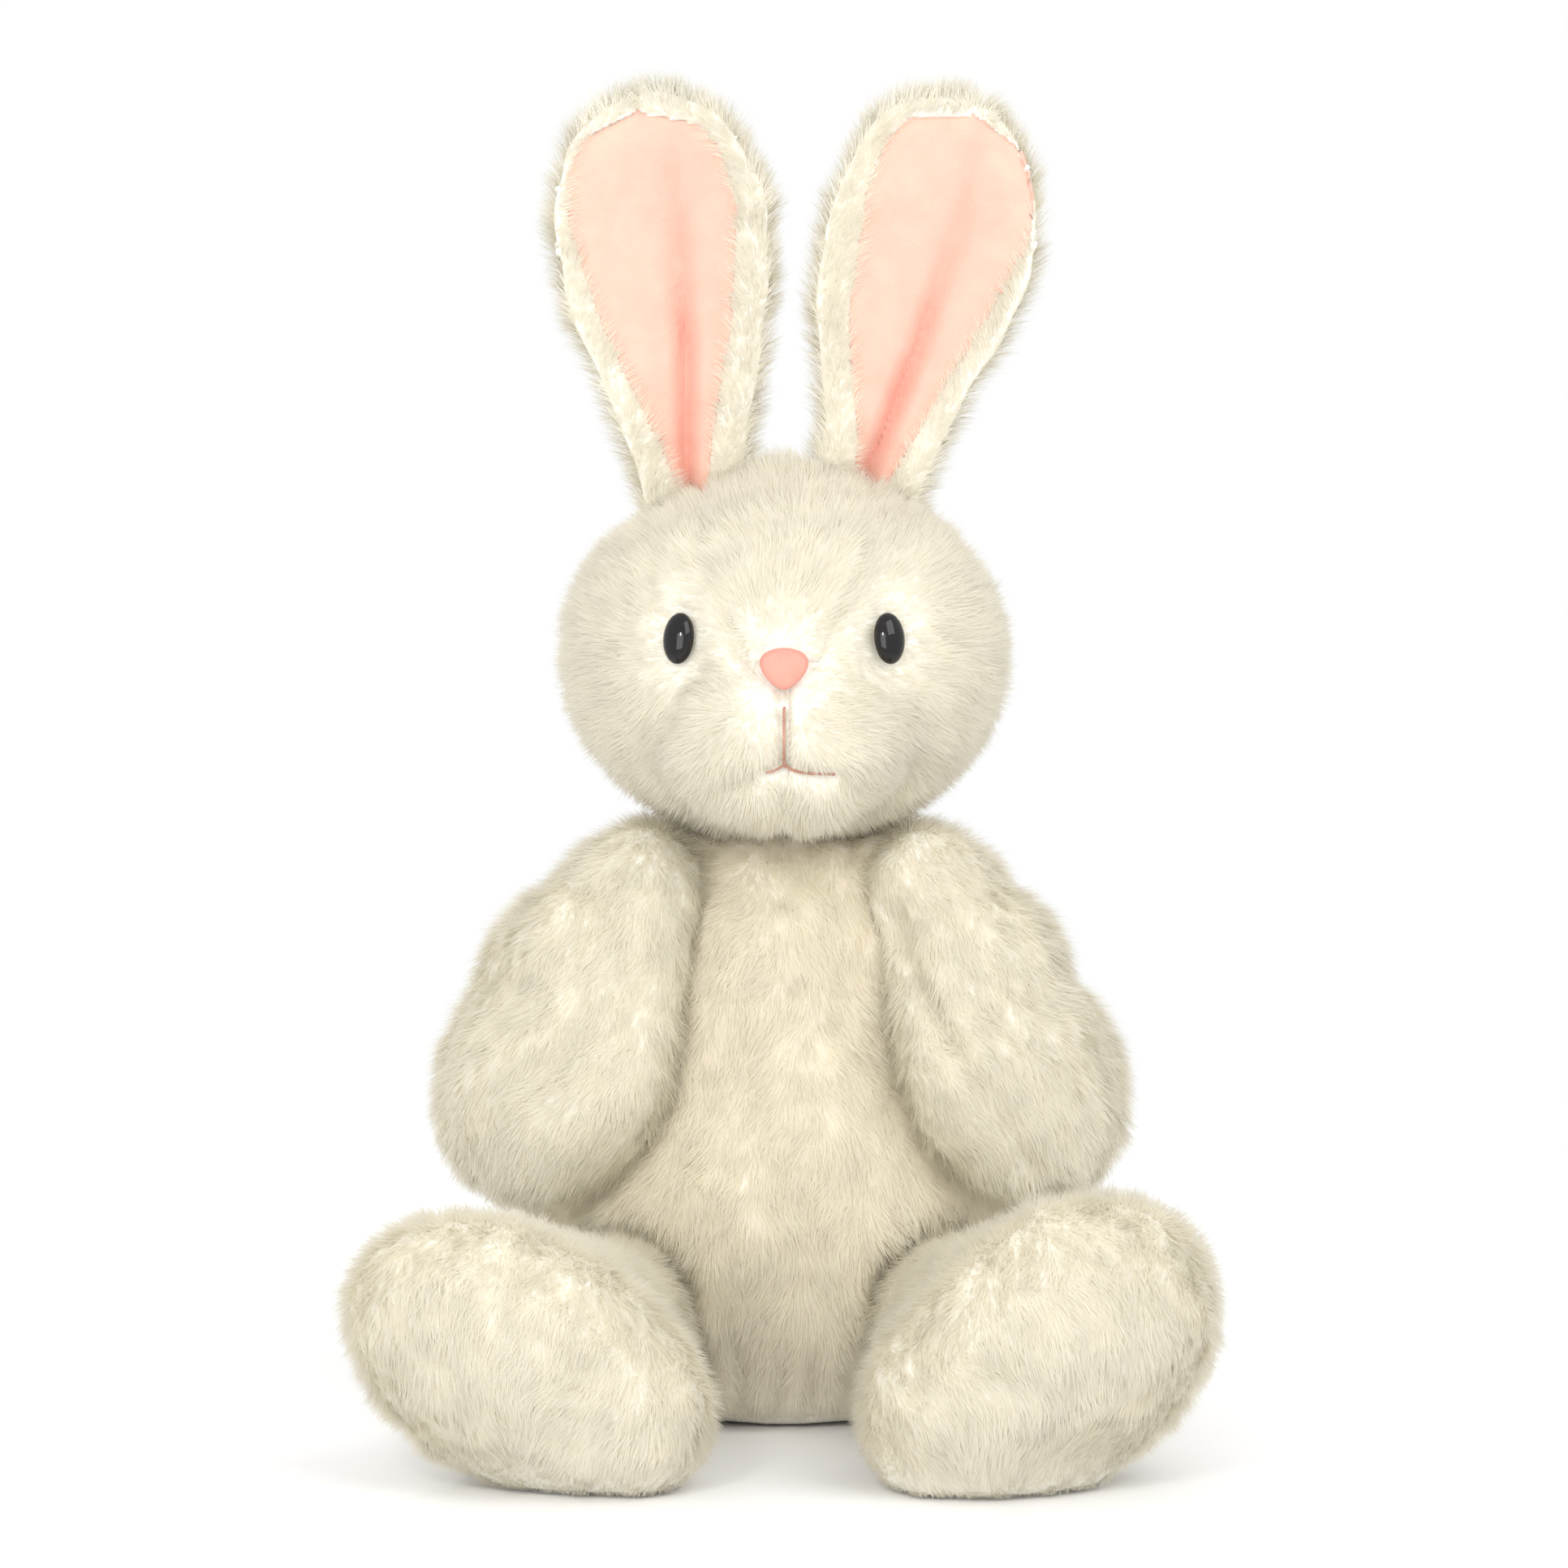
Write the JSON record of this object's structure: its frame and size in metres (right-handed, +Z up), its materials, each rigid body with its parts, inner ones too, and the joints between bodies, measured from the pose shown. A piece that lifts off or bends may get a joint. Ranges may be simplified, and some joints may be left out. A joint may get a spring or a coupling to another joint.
{
  "type": "stuffed bunny rabbit",
  "caption": "Seated long-pile plush rabbit with upright lined ears, oval eyes, soft arms and legs that hinge at their sewn seams, and a flat base.",
  "frame": {"origin": "middle of the flat base panel's underside, on the surface that the toy sits on", "axes": "+Z up through the head, -Y the way the toy faces, +X to the toy's own left"},
  "size_m": [0.2154, 0.2466, 0.3564],
  "materials": {
    "cream_fur": "matte",
    "belly_fur": "matte",
    "pink_velour": "matte",
    "pink_nose_velour": "matte",
    "mouth_thread": "satin",
    "black_eye_plastic": "gloss",
    "washer_plastic": "matte",
    "smooth_base_cloth": "matte",
    "pouch_cloth": "matte",
    "fibre_stuffing": "matte"
  },
  "bodies": {
    "torso": {"belly_panel": "belly_fur", "back_panel_right": "cream_fur", "back_panel_left": "cream_fur", "base_panel": "smooth_base_cloth", "torso_stuffing": "fibre_stuffing", "pellet_pouch": "pouch_cloth", "tail": "cream_fur", "tail_stuffing": "fibre_stuffing"},
    "head": {"head_side_right": "cream_fur", "head_side_left": "cream_fur", "forehead_gusset": "cream_fur", "head_stuffing": "fibre_stuffing", "nose_patch": "pink_nose_velour", "mouth_stitching": "mouth_thread", "eye_right": "black_eye_plastic", "eye_left": "black_eye_plastic", "eye_washer_right": "washer_plastic", "eye_washer_left": "washer_plastic"},
    "ear_right": {"ear_right_back": "cream_fur", "ear_right_lining": "pink_velour"},
    "ear_left": {"ear_left_back": "cream_fur", "ear_left_lining": "pink_velour"},
    "arm_right": {"arm_right_front": "cream_fur", "arm_right_back": "cream_fur", "arm_right_stuffing": "fibre_stuffing"},
    "arm_left": {"arm_left_front": "cream_fur", "arm_left_back": "cream_fur", "arm_left_stuffing": "fibre_stuffing"},
    "leg_right": {"leg_right_outer": "cream_fur", "leg_right_inner": "cream_fur", "foot_right_sole": "cream_fur", "leg_right_stuffing": "fibre_stuffing"},
    "leg_left": {"leg_left_outer": "cream_fur", "leg_left_inner": "cream_fur", "foot_left_sole": "cream_fur", "leg_left_stuffing": "fibre_stuffing"}
  },
  "joints": [
    {"name": "neck_turn", "type": "hinge", "parent": "torso", "child": "head", "pos_m": [0, -0.002, 0.15], "axis": [0, 0, 1], "range_deg": [-40, 40], "stiffness_Nm_per_rad": 0.15},
    {"name": "ear_right_fold", "type": "hinge", "parent": "head", "child": "ear_right", "pos_m": [-0.025, 0.002, 0.253], "axis": [0.9455, 0, 0.3256], "range_deg": [-45, 45], "stiffness_Nm_per_rad": 0.05},
    {"name": "ear_left_fold", "type": "hinge", "parent": "head", "child": "ear_left", "pos_m": [0.024, 0.002, 0.253], "axis": [0.9455, 0, -0.3256], "range_deg": [-45, 45], "stiffness_Nm_per_rad": 0.05},
    {"name": "arm_right_lift", "type": "hinge", "parent": "torso", "child": "arm_right", "pos_m": [-0.038, -0.018, 0.141], "axis": [0, 1, 0], "range_deg": [0, 80], "stiffness_Nm_per_rad": 0.05},
    {"name": "arm_left_lift", "type": "hinge", "parent": "torso", "child": "arm_left", "pos_m": [0.038, -0.018, 0.141], "axis": [0, -1, 0], "range_deg": [0, 80], "stiffness_Nm_per_rad": 0.05},
    {"name": "leg_right_lift", "type": "hinge", "parent": "torso", "child": "leg_right", "pos_m": [-0.045, -0.045, 0.026], "axis": [-0.9754, 0.2203, 0], "range_deg": [0, 25], "stiffness_Nm_per_rad": 0.05},
    {"name": "leg_left_lift", "type": "hinge", "parent": "torso", "child": "leg_left", "pos_m": [0.045, -0.045, 0.026], "axis": [-0.9754, -0.2203, 0], "range_deg": [0, 25], "stiffness_Nm_per_rad": 0.05}
  ]
}
